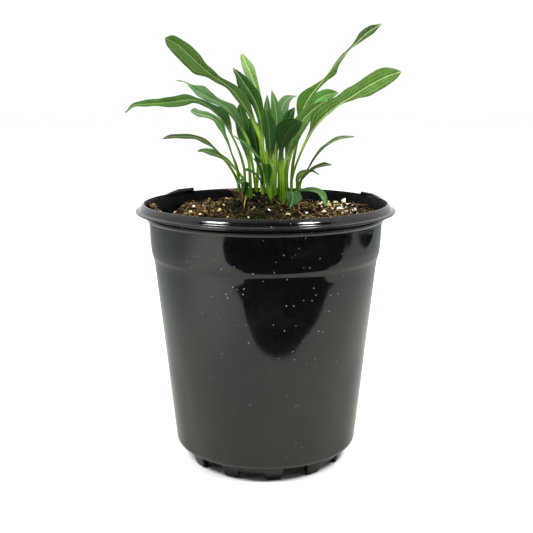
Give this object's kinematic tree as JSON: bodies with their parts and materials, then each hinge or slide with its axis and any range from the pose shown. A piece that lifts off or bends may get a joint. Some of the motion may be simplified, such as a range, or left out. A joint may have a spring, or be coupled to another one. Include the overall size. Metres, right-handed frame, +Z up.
{
  "type": "potted coneflower",
  "caption": "Young coneflower clump of long-stalked basal leaves, rooted in bark potting mix in a tapered round nursery pot with a flared rim, drain slots and feet.",
  "frame": {"origin": "on the floor under the pot's axis, at the middle of the ring of feet, which is the bottom centre of the bounding box to within 1.3 mm", "axes": "+Z up along the pot's axis; -Y is the side shown in the picture; +X is to the right of a viewer who looks at that side"},
  "size_m": [0.169, 0.165, 0.2798],
  "materials": {
    "pot_plastic": "glossy black moulded polypropylene",
    "potting_mix": "loose bark, fibre and perlite, matt",
    "crown": "matt, fibrous",
    "leaf_mid_green": "satin leaf surface",
    "leaf_deep_green": "satin leaf surface",
    "leaf_bright_green": "satin leaf surface",
    "dry_leaf": "matt, papery"
  },
  "bodies": {
    "root": {"pot": "pot_plastic", "potting_mix": "potting_mix", "crown_and_roots": "crown", "leaf_upper_left": "leaf_mid_green", "leaf_long_left": "leaf_mid_green", "leaf_thin_left": "leaf_mid_green", "leaf_curled_left": "leaf_mid_green", "leaf_low_left": "leaf_mid_green", "leaf_behind_low_left": "leaf_mid_green", "leaf_centre_bright": "leaf_bright_green", "leaf_centre_folded": "leaf_mid_green", "leaf_centre_small": "leaf_mid_green", "leaf_centre_point": "leaf_deep_green", "leaf_centre_round": "leaf_deep_green", "leaf_arched_back": "leaf_mid_green", "leaf_short_back": "leaf_deep_green", "leaf_upper_right": "leaf_mid_green", "leaf_behind_right": "leaf_mid_green", "leaf_side_right": "leaf_mid_green", "leaf_big_right": "leaf_mid_green", "leaf_arc_right": "leaf_mid_green", "leaf_low_right": "leaf_deep_green", "leaf_low_back_right": "leaf_mid_green", "leaf_front_round": "leaf_deep_green", "leaf_front_arch": "leaf_deep_green", "leaf_front_spoon": "leaf_deep_green", "leaf_front_slip": "leaf_deep_green", "leaf_narrow_dark": "leaf_deep_green", "leaf_dark_back_left": "leaf_deep_green", "leaf_dark_left": "leaf_deep_green", "leaf_back_low": "leaf_mid_green", "leaf_stub": "leaf_deep_green", "leaf_over_soil": "leaf_mid_green", "leaf_lobed": "leaf_deep_green", "leaf_young_shoot": "leaf_mid_green", "dry_leaf_base": "dry_leaf"}
  },
  "joints": []
}
